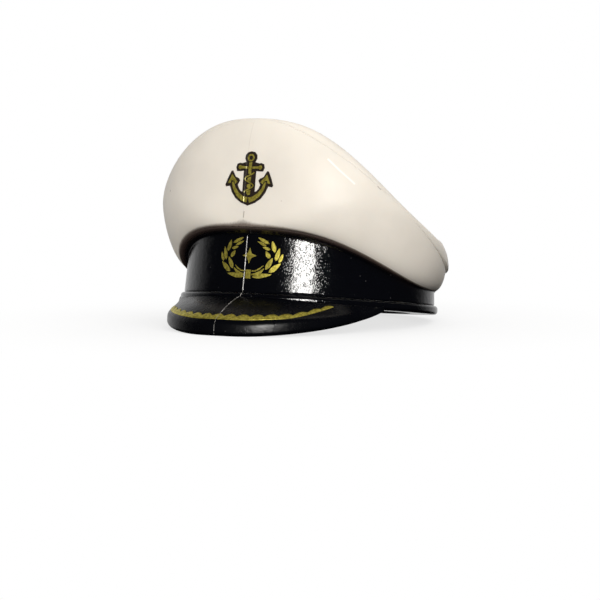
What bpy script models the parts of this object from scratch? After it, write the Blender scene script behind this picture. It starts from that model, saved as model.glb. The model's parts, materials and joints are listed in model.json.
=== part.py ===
"""Moulded toy peaked cap: white swept crown, black band, bead and visor, printed badges.

Millimetre dimensions in the cap's own frame: Z is the head's axis, z = 0 the underside of the
band's bead, front is -Y, the wearer's left is +X. The cap then stands on a table, on its
visor's front edge and the back of the bead.
"""
import math

import bpy
import bmesh
import numpy as np
from mathutils import Vector

MM = 0.001                       # metres in a millimetre

# around the head
SECTIONS = 64                    # sections round the cap
FIT_GAP = 0.02                   # clearance between neighbouring pieces
HEAD_R = 5.20                    # recess for a toy head 10.3 mm across
STUD_R = 2.45                    # hole for the head's 4.8 mm stud
SEAT_Z = 2.15                    # flat seat that rests on the head
SEAT_THICK = 0.34
COLLAR_TOP_Z = 3.20
COLLAR_R = 2.95
LINER_R = 5.70

# bead and band
BEAD_R = 6.64
BEAD_HEIGHT = 0.45
BEAD_ROUND = 0.14
BAND_R_LOW = 6.46
BAND_R_HIGH = 6.30
BAND_INNER_R = 5.72
LIP_THICK = 0.06

# crown, each value at 0, 30, 60, 90, 120, 150 and 180 degrees from the front
BAND_TOP_Z = (3.42, 3.21, 2.16, 1.26, 1.14, 1.10, 1.09)
LIP_OUT = (0.44, 0.42, 0.44, 0.12, 0.05, 0.05, 0.04)
LIP_RISE = (0.31, 0.29, 0.16, 0.05, 0.04, 0.04, 0.04)
WIDE_R = (6.80, 7.40, 7.86, 7.56, 6.86, 6.88, 6.88)
WIDE_Z = (4.51, 5.03, 5.00, 3.35, 2.13, 2.05, 2.00)
CREST_R = (5.98, 6.20, 6.92, 6.42, 6.51, 6.60, 6.58)
CREST_Z = (9.29, 8.71, 6.06, 3.97, 3.80, 3.00, 2.95)
SEAM_Z = (9.22, 8.22, 5.62, 2.98, 2.14, 2.05, 2.03)
CROWN_THICK = 0.50
TOP_DOME = 0.50
CREST_POWER = 2.3                # squareness of the roll over the crest
# squareness of the turn from the underside up the wall
HAUNCH_POWER = (2.45, 1.90, 1.50, 1.75, 1.90, 1.90, 1.90)
TOP_RINGS = 6
LIP_SHARES = (0.06, 0.22, 0.4, 0.58, 0.74, 0.88, 1.0)

# visor
VISOR_CENTRE_Y = -2.60
VISOR_HALF_X = 5.58
VISOR_HALF_Y = 6.30
VISOR_SPAN = 90.0                # degrees each way on the outline's ellipse
VISOR_ROOT_Z = 0.30
VISOR_ROOT_LOW_Z = -0.06
VISOR_EDGE_THICK = 0.68          # at the front; thinner by VISOR_EDGE_THINNER at the ends
VISOR_EDGE_THINNER = 0.38
VISOR_THINNING = 6               # how late the edge thins towards the ends
VISOR_SAG = (0.45, -0.30)        # curving of the top's slope at the middle and at the ends
VISOR_CLIMB = 1.75               # how late the edge climbs towards the ends
VISOR_ROOT_FALL = 0.16           # how far the root line drops towards the ends
VISOR_EDGE_LOW_Z = -1.75
VISOR_EDGE_RISE = 1.50           # how far the lower edge climbs from the front to the ends
VISOR_END_RISE = 0.19            # last short climb into the bead
VISOR_TAIL = 0.10                # thickness of the tail along the bead
VISOR_SECTIONS = 44

# printed decoration, laid on as thin raised ink
INK_THICK = 0.06
PRINT_SHIFT = 0.24               # the prints sit a little towards the wearer's left
PRINT_FACET = 0.45               # width of the flat facets that follow the curved front
TRIM_SPAN = 62.0
TRIM_WIDTH = 0.34
TRIM_SCALLOPS = 17
TRIM_INSET = 0.16                # from the visor's edge
TRIM_DRIFT = 0.42                # how much further in the ribbon runs at the wearer's left end
BADGE_Z = 6.12
WREATH_Z = 2.20
WREATH_R = 1.80                  # half width; it is WREATH_FLAT times as high
WREATH_FLAT = 0.57

WHITE = (0.86, 0.81, 0.73, 1.0)
SOCKET_WHITE = (0.80, 0.79, 0.76, 1.0)
BLACK = (0.012, 0.012, 0.014, 1.0)
INK_BLACK = (0.02, 0.015, 0.012, 1.0)
GOLD = (0.42, 0.34, 0.06, 1.0)


def clear_scene():
    for item in list(bpy.data.objects):
        bpy.data.objects.remove(item, do_unlink=True)


def cosine_series(values):
    """Coefficients of the even, smooth curve through values at equal steps from 0 to 180."""
    count = len(values)
    steps = np.arange(count) * math.pi / (count - 1)
    basis = np.cos(np.outer(steps, np.arange(count)))
    return np.linalg.solve(basis, np.array(values))


SERIES = {
    "band_top": cosine_series(BAND_TOP_Z),
    "lip_out": cosine_series(LIP_OUT),
    "lip_rise": cosine_series(LIP_RISE),
    "wide_r": cosine_series(WIDE_R),
    "wide_z": cosine_series(WIDE_Z),
    "crest_r": cosine_series(CREST_R),
    "crest_z": cosine_series(CREST_Z),
    "seam_z": cosine_series(SEAM_Z),
    "haunch": cosine_series(HAUNCH_POWER),
}


def around(name, angle):
    series = SERIES[name]
    return float(np.sum(series * np.cos(angle * np.arange(len(series)))))


def material(name, colour, roughness, metallic=0.0):
    made = bpy.data.materials.new(name)
    made.use_nodes = True
    shader = made.node_tree.nodes["Principled BSDF"]
    shader.inputs["Base Color"].default_value = colour
    shader.inputs["Roughness"].default_value = roughness
    shader.inputs["Metallic"].default_value = metallic
    made.diffuse_color = colour
    return made


def at(angle, radius, height):
    """Point at an angle from the front, towards the wearer's left."""
    return Vector((radius * math.sin(angle), -radius * math.cos(angle), height)) * MM


def add_object(name, mesh_data, look, collection, frame):
    mesh = bpy.data.meshes.new(name)
    bmesh.ops.recalc_face_normals(mesh_data, faces=mesh_data.faces)
    mesh_data.to_mesh(mesh)
    mesh_data.free()
    made = bpy.data.objects.new(name, mesh)
    mesh.materials.append(look)
    collection.objects.link(made)
    made.parent = frame
    for face in mesh.polygons:
        face.use_smooth = True
    return made


def loft_ring(section, angles):
    """Closed ring: the same closed section, a list of (radius, height), at every angle."""
    mesh = bmesh.new()
    rows = [[mesh.verts.new(at(a, r, z)) for r, z in section(a)] for a in angles]
    for i, row in enumerate(rows):
        following = rows[(i + 1) % len(rows)]
        for j in range(len(row)):
            k = (j + 1) % len(row)
            mesh.faces.new((row[j], row[k], following[k], following[j]))
    return mesh


def ring_angles():
    return [2 * math.pi * i / SECTIONS for i in range(SECTIONS)]


def turned(name, profile, look, collection, frame):
    """A closed outline of (radius, height) turned round the head's axis with Screw."""
    mesh = bpy.data.meshes.new(name)
    points = [(r * MM, 0.0, z * MM) for r, z in profile]
    edges = [(i, (i + 1) % len(points)) for i in range(len(points))]
    mesh.from_pydata(points, edges, [])
    mesh.materials.append(look)
    made = bpy.data.objects.new(name, mesh)
    collection.objects.link(made)
    made.parent = frame
    screw = made.modifiers.new("turn", "SCREW")
    screw.axis = "Z"
    screw.angle = 2 * math.pi
    screw.steps = SECTIONS
    screw.render_steps = SECTIONS
    screw.use_merge_vertices = True
    screw.merge_threshold = 1e-6
    screw.use_smooth_shade = True
    return made


def make_bead(look, collection, frame):
    """Raised ring round the bottom of the band; its rounded edge is the widest turned part."""
    r, h, e = BEAD_R, BEAD_HEIGHT, BEAD_ROUND
    profile = [(r - 0.25, h), (r - e * 0.3, h - e * 0.35), (r, h - e), (r, e), (r - e * 0.3, e * 0.3),
               (r - e, 0.0), (HEAD_R + 0.12, 0.0), (HEAD_R, 0.12), (HEAD_R, h)]
    return turned("band_bead", profile, look, collection, frame)


def make_socket(look, collection, frame):
    """Liner round the head, flat seat on top of it, and the collar round the stud's hole."""
    low = BEAD_HEIGHT + FIT_GAP
    top = SEAT_Z + SEAT_THICK
    profile = [(STUD_R + 0.12, COLLAR_TOP_Z), (COLLAR_R, COLLAR_TOP_Z), (COLLAR_R, top),
               (LINER_R - 0.35, top), (LINER_R, top - 0.3), (LINER_R, low), (HEAD_R, low),
               (HEAD_R, SEAT_Z), (STUD_R, SEAT_Z), (STUD_R, COLLAR_TOP_Z - 0.12)]
    return turned("head_socket", profile, look, collection, frame)


def band_radius(height):
    low = BEAD_HEIGHT + FIT_GAP
    share = (height - low) / (BAND_TOP_Z[0] - low)
    return BAND_R_LOW + (BAND_R_HIGH - BAND_R_LOW) * share


def crown_foot(angle):
    """Where the band's flared lip ends and the white crown begins."""
    top = around("band_top", angle)
    return band_radius(top) + around("lip_out", angle), top + around("lip_rise", angle)


def make_band(look, collection, frame):
    """Tapered band whose flared top lip carries the crown."""
    low = BEAD_HEIGHT + FIT_GAP

    def section(angle):
        top = around("band_top", angle)
        foot_r, foot_z = crown_foot(angle)
        mid = 0.5 * (low + top)
        neck_r = band_radius(top - 0.06)
        return [(BAND_R_LOW, low), (band_radius(mid), mid), (neck_r, top - 0.06),
                (neck_r + 0.3 * (foot_r - neck_r), top + 0.3 * (foot_z - top)),
                (foot_r, foot_z - LIP_THICK * 0.5), (foot_r, foot_z), (BAND_INNER_R, foot_z),
                (BAND_INNER_R, mid), (BAND_INNER_R, low)]

    mesh = loft_ring(section, ring_angles())
    return add_object("band", mesh, look, collection, frame)


def crown_profile(angle, rise_steps, roll_steps):
    """Outer wall from its foot, out to its widest line and up to the crest."""
    foot_r, foot_z = crown_foot(angle)
    foot_z += FIT_GAP
    wide_r, wide_z = around("wide_r", angle), around("wide_z", angle)
    crest_r, crest_z = around("crest_r", angle), around("crest_z", angle)
    haunch = 2.0 / around("haunch", angle)
    points = []
    for i in range(rise_steps):
        t = 0.5 * math.pi * i / rise_steps
        out = math.sin(t) ** haunch
        up = 1.0 - math.cos(t) ** haunch
        points.append((foot_r + (wide_r - foot_r) * out, foot_z + (wide_z - foot_z) * up))
    for i in range(roll_steps + 1):
        t = 0.5 * math.pi * i / roll_steps
        out = math.cos(t) ** (2.0 / CREST_POWER)
        up = math.sin(t) ** (2.0 / CREST_POWER)
        points.append((crest_r + (wide_r - crest_r) * out, wide_z + (crest_z - wide_z) * up))
    return points


def split_at_seam(angle):
    """Wall points below the seam, lip points above it, and the outward normal at the seam."""
    fine = np.array(crown_profile(angle, 40, 160))
    steps = np.hypot(*np.diff(fine, axis=0).T)
    length = np.concatenate(([0.0], np.cumsum(steps)))
    seam = float(np.interp(around("seam_z", angle), fine[:, 1], length))
    along = lambda s: (float(np.interp(s, length, fine[:, 0])), float(np.interp(s, length, fine[:, 1])))
    ahead, behind = along(seam + 0.01), along(seam - 0.01)
    run, climb = ahead[0] - behind[0], ahead[1] - behind[1]
    size = math.hypot(run, climb)
    normal = (climb / size, -run / size)
    return along, seam, length[-1], normal


def offset_point(point, normal, depth):
    return point[0] - normal[0] * depth, point[1] - normal[1] * depth


def make_crown_wall(look, collection, frame):
    """White side wall: hollow shell from the band's lip up to the seam below the crest."""
    share = (0.0, 0.06, 0.14, 0.24, 0.36, 0.5, 0.64, 0.76, 0.86, 0.94, 1.0)

    def section(angle):
        along, seam, full, normal = split_at_seam(angle)
        end = seam - FIT_GAP
        outer = [along((end - 0.05) * s) for s in share] + [offset_point(along(end), normal, 0.05)]
        top_in = offset_point(along(end), normal, CROWN_THICK)
        wide_in = around("wide_r", angle) - CROWN_THICK
        wide_z = around("wide_z", angle)
        foot_r, foot_z = outer[0]
        turn_r = foot_r + 0.73 * (wide_in + CROWN_THICK - foot_r) - 0.7 * CROWN_THICK
        turn_z = foot_z + 0.29 * (wide_z - foot_z) + 0.7 * CROWN_THICK
        bulge_z = min(wide_z, top_in[1] - 0.1)
        inner = [top_in, (wide_in, bulge_z), (min(turn_r, wide_in - 0.02), min(turn_z, bulge_z - 0.12)),
                 (BAND_INNER_R + 0.06, foot_z)]
        return outer + inner

    mesh = loft_ring(section, ring_angles())
    return add_object("crown_wall", mesh, look, collection, frame)


def top_height(share, angle):
    """Height of the top panel: a membrane stretched over the crest, slightly domed."""
    series = SERIES["crest_z"]
    orders = np.arange(len(series))
    membrane = float(np.sum(series * share ** orders * np.cos(angle * orders)))
    return membrane + TOP_DOME * (1.0 - share ** 2) * (1.0 - 0.5 * share ** 6)


def make_crown_top(look, collection, frame):
    """White top panel with its rolled lip over the seam."""
    mesh = bmesh.new()
    angles = ring_angles()
    rings = [1.0 - i / TOP_RINGS for i in range(1, TOP_RINGS)]
    rows = []
    for angle in angles:
        along, seam, full, normal = split_at_seam(angle)
        start = seam + FIT_GAP
        low = offset_point(along(start), normal, CROWN_THICK - 0.05)
        notch = offset_point(along(start), normal, 0.05)
        outer = [along(start + share * (full - start)) for share in LIP_SHARES]
        crest_r = outer[-1][0]
        top = [(crest_r * s, top_height(s, angle)) for s in rings]
        under = [(crest_r * s, top_height(s, angle) - CROWN_THICK) for s in reversed(rings[:-1])]
        rows.append([mesh.verts.new(at(angle, r, z)) for r, z in [low, notch] + outer + top])
        rows[-1] += [None] + [mesh.verts.new(at(angle, r, z)) for r, z in [(crest_r * rings[-1],
                    top_height(rings[-1], angle) - CROWN_THICK)] + under]
    top_pole = mesh.verts.new(Vector((0, 0, top_height(0.0, 0.0))) * MM)
    low_pole = mesh.verts.new(Vector((0, 0, top_height(0.0, 0.0) - CROWN_THICK)) * MM)
    for i, row in enumerate(rows):
        following = rows[(i + 1) % len(rows)]
        split = row.index(None)
        for j in range(len(row)):
            k = (j + 1) % len(row)
            if j == split:
                continue
            if k == split:
                mesh.faces.new((row[j], top_pole, following[j]))
                mesh.faces.new((low_pole, row[k + 1], following[k + 1]))
                continue
            mesh.faces.new((row[j], row[k], following[k], following[j]))
    return add_object("crown_top", mesh, look, collection, frame)


def visor_edge(turn):
    """Angle, radius, lower-edge and upper-edge height at an angle on the outline's ellipse."""
    x = VISOR_HALF_X * math.sin(turn)
    y = VISOR_CENTRE_Y - VISOR_HALF_Y * math.cos(turn)
    climb = max(0.0, abs(turn) * 2.0 / math.pi - 0.1) / 0.9
    low = VISOR_EDGE_LOW_Z + VISOR_EDGE_RISE * climb ** VISOR_CLIMB + VISOR_END_RISE * climb ** 12
    high = low + VISOR_EDGE_THICK - VISOR_EDGE_THINNER * abs(math.sin(turn)) ** VISOR_THINNING
    return math.atan2(x, -y), max(math.hypot(x, y), BEAD_R + FIT_GAP + VISOR_TAIL), low, high


def visor_top(turn, share):
    """Point on the visor's top surface, from its root (0) to its edge (1)."""
    angle, radius, low, high = visor_edge(turn)
    root = BEAD_R + FIT_GAP
    root_z = VISOR_ROOT_Z - VISOR_ROOT_FALL * math.sin(turn) ** 2
    r = root + (radius - root) * share
    sag = VISOR_SAG[0] * math.cos(turn) ** 2 + VISOR_SAG[1] * math.sin(turn) ** 2
    return angle, r, root_z - (root_z - high) * ((1.0 - sag) * share + sag * share ** 2)


def make_visor(look, collection, frame):
    """Drooping visor that grows from the front of the bead."""
    mesh = bmesh.new()
    rows = []
    for i in range(VISOR_SECTIONS + 1):
        turn = math.radians(VISOR_SPAN) * (2.0 * i / VISOR_SECTIONS - 1.0)
        angle, radius, low, rise = visor_edge(turn)
        reach = radius - BEAD_R - FIT_GAP
        bevel = min(0.12, 0.25 * reach)
        points = [visor_top(turn, s)[1:] for s in (0.0, 0.3, 0.6)]
        points += [visor_top(turn, 1.0 - bevel / reach)[1:], (radius, rise - 0.1)]
        points += [(radius, low + 0.14), (radius - bevel, low)]
        points += [(BEAD_R + FIT_GAP + reach * 0.5, low + 0.45 * (VISOR_ROOT_LOW_Z - low))]
        points += [(BEAD_R + FIT_GAP, VISOR_ROOT_LOW_Z)]
        rows.append([mesh.verts.new(at(angle, r, z)) for r, z in points])
    for row, following in zip(rows, rows[1:]):
        for j in range(len(row)):
            k = (j + 1) % len(row)
            mesh.faces.new((row[j], row[k], following[k], following[j]))
    mesh.faces.new(rows[0])
    mesh.faces.new(rows[-1])
    return add_object("visor", mesh, look, collection, frame)


def ribbon(rows_of_points):
    """Closed solid from rows of four corner points each."""
    mesh = bmesh.new()
    rows = [[mesh.verts.new(p) for p in row] for row in rows_of_points]
    for row, following in zip(rows, rows[1:]):
        for j in range(len(row)):
            k = (j + 1) % len(row)
            mesh.faces.new((row[j], row[k], following[k], following[j]))
    mesh.faces.new(rows[0])
    mesh.faces.new(rows[-1])
    return mesh


def make_trim(look, collection, frame):
    """Scalloped ribbon printed along the visor's top edge."""
    steps = TRIM_SCALLOPS * 6
    rows = []
    for i in range(steps + 1):
        along = 2.0 * i / steps - 1.0
        turn = math.radians(TRIM_SPAN) * along
        reach = visor_edge(turn)[1] - BEAD_R - FIT_GAP
        wave = abs(math.sin(math.pi * TRIM_SCALLOPS * i / steps))
        taper = math.sqrt(max(0.02, 1.0 - along ** 6))
        width = TRIM_WIDTH * (0.55 + 0.45 * wave) * taper
        drift = min(1.0, max(0.0, (math.degrees(turn) - 36.0) / (TRIM_SPAN - 36.0)))
        inset = TRIM_INSET + TRIM_DRIFT * drift * drift * (3.0 - 2.0 * drift)
        outer = 1.0 - inset / reach
        inner = 1.0 - (inset + width) / reach
        row = []
        for share, up in ((inner, 0), (inner, 1), (outer, 1), (outer, 0)):
            angle, r, z = visor_top(turn, share)
            row.append(at(angle, r, z + FIT_GAP + INK_THICK * up))
        rows.append(row)
    return add_object("visor_trim", ribbon(rows), look, collection, frame)


def crown_front_y(x, z):
    """Depth of the crown's outer wall at a place on its front."""
    angle = math.asin(x / 6.8)
    for _ in range(4):
        profile = np.array(crown_profile(angle, 12, 40))
        radius = float(np.interp(z, profile[:, 1], profile[:, 0]))
        angle = math.asin(max(-1.0, min(1.0, x / radius)))
    return -radius * math.cos(angle)


def band_front_y(x, z):
    share = (z - BEAD_HEIGHT) / (BAND_TOP_Z[0] - BEAD_HEIGHT)
    radius = BAND_R_LOW + (BAND_R_HIGH - BAND_R_LOW) * share
    return -math.sqrt(radius ** 2 - x ** 2)


def printed_outline(name, outline, depth_of, lift, look, collection, frame):
    """Thin raised print: a flat outline of (x, z), laid on the curved surface behind it."""
    mesh = bmesh.new()
    mesh.faces.new([mesh.verts.new((x + PRINT_SHIFT, 0.0, z)) for x, z in outline])
    cut = PRINT_SHIFT + min(x for x, z in outline) + PRINT_FACET
    last = PRINT_SHIFT + max(x for x, z in outline) - 0.5 * PRINT_FACET
    while cut < last:
        everything = list(mesh.verts) + list(mesh.edges) + list(mesh.faces)
        bmesh.ops.bisect_plane(mesh, geom=everything, dist=0.02, plane_co=(cut, 0, 0),
                               plane_no=(1, 0, 0))
        cut += PRINT_FACET
    bmesh.ops.triangulate(mesh, faces=list(mesh.faces))
    out = bmesh.ops.extrude_face_region(mesh, geom=list(mesh.faces))
    raised = {v for v in out["geom"] if isinstance(v, bmesh.types.BMVert)}
    for vert in mesh.verts:
        x, z = vert.co.x, vert.co.z
        thick = INK_THICK if vert in raised else 0.0
        vert.co = Vector((x, depth_of(x, z) - lift - thick, z)) * MM
    return add_object(name, mesh, look, collection, frame)


def anchor_outline(grow):
    """Half of an anchor's outline, mirrored: eye, stock, shank and curved arms."""
    half = [(0.0, 1.18), (0.17, 1.10), (0.24, 0.94), (0.18, 0.78), (0.10, 0.70), (0.10, 0.60),
            (0.56, 0.62), (0.56, 0.44), (0.10, 0.42), (0.10, -0.62), (0.42, -0.52), (0.66, -0.34),
            (0.80, -0.12), (0.66, -0.10), (0.98, 0.22), (1.16, -0.18), (1.02, -0.14),
            (0.90, -0.48), (0.62, -0.82), (0.28, -1.00), (0.0, -1.16)]
    if grow > 0.0:
        half = [(0.0, 1.38), (0.30, 1.26), (0.42, 0.98), (0.34, 0.80), (0.74, 0.78), (0.76, 0.30),
                (0.30, 0.22), (0.30, -0.30), (0.50, -0.26), (0.60, 0.04), (1.00, 0.48), (1.16, 0.36),
                (1.36, -0.28), (1.10, -0.66), (0.74, -1.00), (0.32, -1.20), (0.0, -1.36)]
    mirrored = [(-x, z) for x, z in reversed(half[1:-1])]
    return [(x, z + BADGE_Z) for x, z in half + mirrored]


def sprig_outline(side):
    """One laurel sprig: a curved stem with leaf tips on both sides."""
    outer, inner = [], []
    pitch = 22.0
    for i in range(7):
        base = 170.0 - pitch * i
        outer += [(0.86, base), (1.0, base - 0.8 * pitch), (0.90, base - 0.92 * pitch)]
        inner += [(0.68, base), (0.52, base - 0.8 * pitch), (0.64, base - 0.92 * pitch)]
    ring = [(r * WREATH_R, math.radians(a)) for r, a in outer + inner[::-1]]
    return [(r * math.sin(a) * side, r * WREATH_FLAT * math.cos(a) + WREATH_Z) for r, a in ring]


def star_outline():
    points = []
    for i in range(8):
        radius = 0.38 if i % 2 == 0 else 0.15
        turn = math.radians(45.0 * i)
        points.append((radius * math.sin(turn), WREATH_Z + 0.12 + radius * math.cos(turn)))
    return points


def tie_outline():
    low = WREATH_Z - WREATH_R * WREATH_FLAT
    return [(-0.16, low), (0.16, low), (0.13, low + 0.44), (-0.13, low + 0.44)]


def stand_on_table(frame, pieces):
    """Pitch the cap back until the visor's edge and the bead's back both touch the table."""
    front_y = VISOR_CENTRE_Y - VISOR_HALF_Y + 0.12
    back_y = BEAD_R - BEAD_ROUND
    frame.rotation_euler = (math.atan2(VISOR_EDGE_LOW_Z, back_y - front_y), 0.0, 0.0)
    bpy.context.view_layer.update()
    depsgraph = bpy.context.evaluated_depsgraph_get()
    low, high = Vector((9, 9, 9)), Vector((-9, -9, -9))
    for piece in pieces:
        ready = piece.evaluated_get(depsgraph)
        for vert in ready.data.vertices:
            place = ready.matrix_world @ vert.co
            low = Vector(map(min, low, place))
            high = Vector(map(max, high, place))
    frame.location = (-(low.x + high.x) / 2, -(low.y + high.y) / 2, -low.z)
    bpy.context.view_layer.update()


def build():
    clear_scene()
    collection = bpy.data.collections.new("toy_peaked_cap")
    bpy.context.scene.collection.children.link(collection)
    frame = bpy.data.objects.new("cap_frame", None)
    collection.objects.link(frame)
    white = material("white_plastic", WHITE, 0.32)
    socket_white = material("socket_plastic", SOCKET_WHITE, 0.45)
    black = material("black_plastic", BLACK, 0.22)
    black_ink = material("black_ink", INK_BLACK, 0.4)
    gold = material("gold_ink", GOLD, 0.38, 0.75)
    where = (collection, frame)
    pieces = [
        make_bead(black, *where),
        make_socket(socket_white, *where),
        make_band(black, *where),
        make_crown_wall(white, *where),
        make_crown_top(white, *where),
        make_visor(black, *where),
        make_trim(gold, *where),
        printed_outline("crown_badge_ground", anchor_outline(0.15), crown_front_y, FIT_GAP,
                        black_ink, *where),
        printed_outline("crown_badge_anchor", anchor_outline(0.0), crown_front_y,
                        2 * FIT_GAP + INK_THICK, gold, *where),
        printed_outline("band_sprig_left", sprig_outline(1.0), band_front_y, FIT_GAP, gold, *where),
        printed_outline("band_sprig_right", sprig_outline(-1.0), band_front_y, FIT_GAP, gold, *where),
        printed_outline("band_sprig_tie", tie_outline(), band_front_y, FIT_GAP, gold, *where),
        printed_outline("band_star", star_outline(), band_front_y, FIT_GAP, gold, *where),
    ]
    stand_on_table(frame, pieces)


build()
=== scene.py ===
"""Looks of the moulded toy peaked cap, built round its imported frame.

Shapes are worked out in millimetres in the cap's own frame (Z is the head's axis, z = 0 the
underside of the bead, front is -Y, the wearer's left is +X), and are then set on the table with
the lean that the record's head_seat mount gives. Angles run from the front towards +X.
"""
import json
import math

import bmesh
import bpy
import numpy as np
from mathutils import Matrix, Vector, noise


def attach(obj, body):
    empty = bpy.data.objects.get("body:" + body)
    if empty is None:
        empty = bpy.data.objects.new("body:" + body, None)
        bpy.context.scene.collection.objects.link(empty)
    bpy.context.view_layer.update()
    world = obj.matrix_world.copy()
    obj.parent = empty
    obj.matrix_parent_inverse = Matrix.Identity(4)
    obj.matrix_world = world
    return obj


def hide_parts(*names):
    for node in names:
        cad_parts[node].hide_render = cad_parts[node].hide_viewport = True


MM = 0.001

# the part's own dimensions
FIT_GAP = 0.02
HEAD_R = 5.20
STUD_R = 2.45
SEAT_Z = 2.15
SEAT_MOUNT_Y = -3.8                 # the head_seat mount's place on the seat
SEAT_THICK = 0.34
COLLAR_TOP_Z = 3.20
COLLAR_R = 2.95
LINER_R = 5.70
BEAD_R = 6.64
BEAD_HEIGHT = 0.45
BAND_R_LOW = 6.46
BAND_R_HIGH = 6.30
BAND_INNER_R = 5.72
BAND_TOP_Z = (3.42, 3.21, 2.16, 1.26, 1.14, 1.10, 1.09)     # at 0, 30, ... 180 degrees
LIP_OUT = (0.44, 0.42, 0.44, 0.12, 0.05, 0.05, 0.04)
LIP_RISE = (0.31, 0.29, 0.16, 0.05, 0.04, 0.04, 0.04)
WIDE_R = (6.80, 7.40, 7.86, 7.56, 6.86, 6.88, 6.88)
WIDE_Z = (4.51, 5.03, 5.00, 3.35, 2.13, 2.05, 2.00)
CREST_R = (5.98, 6.20, 6.92, 6.42, 6.51, 6.60, 6.58)
CREST_Z = (9.29, 8.71, 6.06, 3.97, 3.80, 3.00, 2.95)
SEAM_Z = (9.22, 8.22, 5.62, 2.98, 2.14, 2.05, 2.03)
CROWN_THICK = 0.50
TOP_DOME = 0.50
CREST_POWER = 2.3
HAUNCH_POWER = (2.45, 1.90, 1.50, 1.75, 1.90, 1.90, 1.90)
VISOR_CENTRE_Y = -2.60
VISOR_HALF_X = 5.58
VISOR_HALF_Y = 6.30
VISOR_SPAN = 90.0
VISOR_ROOT_Z = 0.30
VISOR_ROOT_LOW_Z = -0.06
VISOR_EDGE_THICK = 0.68
VISOR_EDGE_THINNER = 0.38
VISOR_THINNING = 6
VISOR_SAG = (0.45, -0.30)           # curving of the slope at its middle and at its ends
VISOR_ROOT_FALL = 0.16
VISOR_EDGE_LOW_Z = -1.75
VISOR_EDGE_RISE = 1.50
VISOR_END_RISE = 0.19
VISOR_CLIMB = 1.75
VISOR_TAIL = 0.10
PRINT_SHIFT = 0.24
TRIM_SPAN = 62.0
TRIM_WIDTH = 0.34
TRIM_SCALLOPS = 17
BADGE_Z = 6.12
WREATH_Z = 2.20
WREATH_R = 1.80
WREATH_FLAT = 0.57

# relief that only the looks have
COLUMNS = 240                    # sections round the cap, besides the ones at the parting line
PARTING_COLUMNS = (0.0, 0.008, 0.017, 0.027, 0.038, 0.052, 0.07, 0.1)     # distances from that line
RIDGE_HEIGHT = 0.03              # mould parting line
RIDGE_WIDTH = 0.016
RIDGE_MIDDLE = 0.02              # it lies a little to the wearer's left of x = 0
CREST_SOFTNESS = 0.16            # rounding where the wall rolls into the top panel
LIP_PROUD = 0.14                 # how far the top panel's lip stands out from the wall at the back
LIP_ROUND = 0.09
SHOULDER_LENGTH = 0.12           # rounding of the wall's top edge at the seam
SHOULDER_DEPTH = 0.04
VISOR_CORNER = 0.2               # rounding of the visor's upper and lower edges
VISOR_TOP_POINTS = 20
EJECTOR_TURNS = (0.5, 2.6, 4.7)  # round pin marks on the seat of the head's recess, in radians
EJECTOR_R = 3.85
EJECTOR_DEPTH = 0.03
INK = 0.018                      # thickness of a printed layer
PRINT_FACET = 0.13               # width of the strips that let a print follow a curved surface
TRIM_INSET = 0.16                # ribbon's distance from the visor's edge
TRIM_DRIFT = 0.42                # how much that grows towards the wearer's left end
TRIM_DRIFT_FROM = 36.0           # degrees from the front where the drift starts

# how far stray paint reaches, up the crown from its foot and down the band from its lip
SPRAY_REACH = 0.14
SPRAY_REACH_FRONT = 0.16
SPRAY_REACH_MIDDLE = 0.20
SPRAY_MIDDLE_WIDTH = 0.45
LIP_SPRAY_REACH = 0.2

# lines painted on the crown, in cap-frame millimetres: start, end and width
# painted highlight: the streak of light along the roll under the top panel's lip, in two runs
CROWN_HIGHLIGHT_STREAK = (((4.25, -5.96, 7.24), (4.83, -5.75, 6.71), 0.06),
               ((4.83, -5.75, 6.71), (5.48, -5.38, 6.11), 0.06))
# dark specks; the second is painted shade in the notch where the seam meets the crown's outline
CROWN_SPECKS_AND_NOTCH_SHADE = (((0.05, -6.80, 4.50), (0.03, -6.80, 4.22), 0.035),
                ((6.26, -4.42, 6.05), (6.38, -4.32, 5.92), 0.04),
                ((-5.24, -5.62, 5.55), (-5.24, -5.62, 5.50), 0.045))

# base colours
CREAM = (0.86, 0.80, 0.71, 1)
LINER_WHITE = (0.80, 0.77, 0.70, 1)
# colour of the painted highlight streak on the crown
HIGHLIGHT_WHITE = (1.0, 0.97, 0.90, 1)
DIRT = (0.30, 0.22, 0.15, 1)
# colour of the crown's specks and of the painted shade in the seam's notch
SPECK_AND_SHADE_BROWN = (0.16, 0.12, 0.09, 1)
LINE_BROWN = (0.20, 0.15, 0.11, 1)
HAZE_BROWN = (0.10, 0.066, 0.05, 1)
LIP_BROWN = (0.075, 0.048, 0.038, 1)
PAINT_BLACK = (0.010, 0.007, 0.006, 1)
JET = (0.0012, 0.0014, 0.0024, 1)
DUST = (0.7, 0.68, 0.65, 1)
BARE_PLASTIC = (0.72, 0.69, 0.64, 1)
GOLD_BRIGHT = (0.95, 0.82, 0.15, 1)
GOLD_DEEP = (0.56, 0.47, 0.075, 1)
GOLD_FLAKE = (0.75, 0.64, 0.12, 1)
# paler gold on the parting ridge: partly worn ink, partly painted highlight
GOLD_WORN_AND_HIGHLIGHT = (0.85, 0.80, 0.45, 1)
INK_BLACK = (0.014, 0.009, 0.006, 1)
INK_BROWN = (0.03, 0.018, 0.012, 1)

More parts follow.
